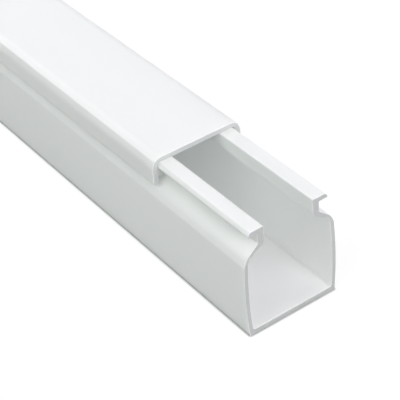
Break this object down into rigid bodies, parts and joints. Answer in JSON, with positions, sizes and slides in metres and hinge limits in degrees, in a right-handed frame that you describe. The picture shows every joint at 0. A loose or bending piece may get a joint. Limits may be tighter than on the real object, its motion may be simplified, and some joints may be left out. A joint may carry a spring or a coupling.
{
  "type": "cable trunking",
  "caption": "Straight length of white PVC mini trunking: an open base channel with hooked rails and a lid that clips over them and slides along.",
  "frame": {"origin": "centre of the flat back of the base channel", "axes": "+X along the length towards the end that the lid leaves open, +Y across the width, +Z out of the back towards the lid"},
  "size_m": [1.0336, 0.0256, 0.03],
  "materials": {
    "white_pvc": "satin extruded rigid PVC"
  },
  "bodies": {
    "base": {"base_channel": "white_pvc"},
    "cover": {"lid": "white_pvc"}
  },
  "joints": [
    {"name": "lid_slide", "type": "slide", "parent": "base", "child": "cover", "axis": [1, 0, 0], "range_m": [-0.9, 0.0336]}
  ]
}
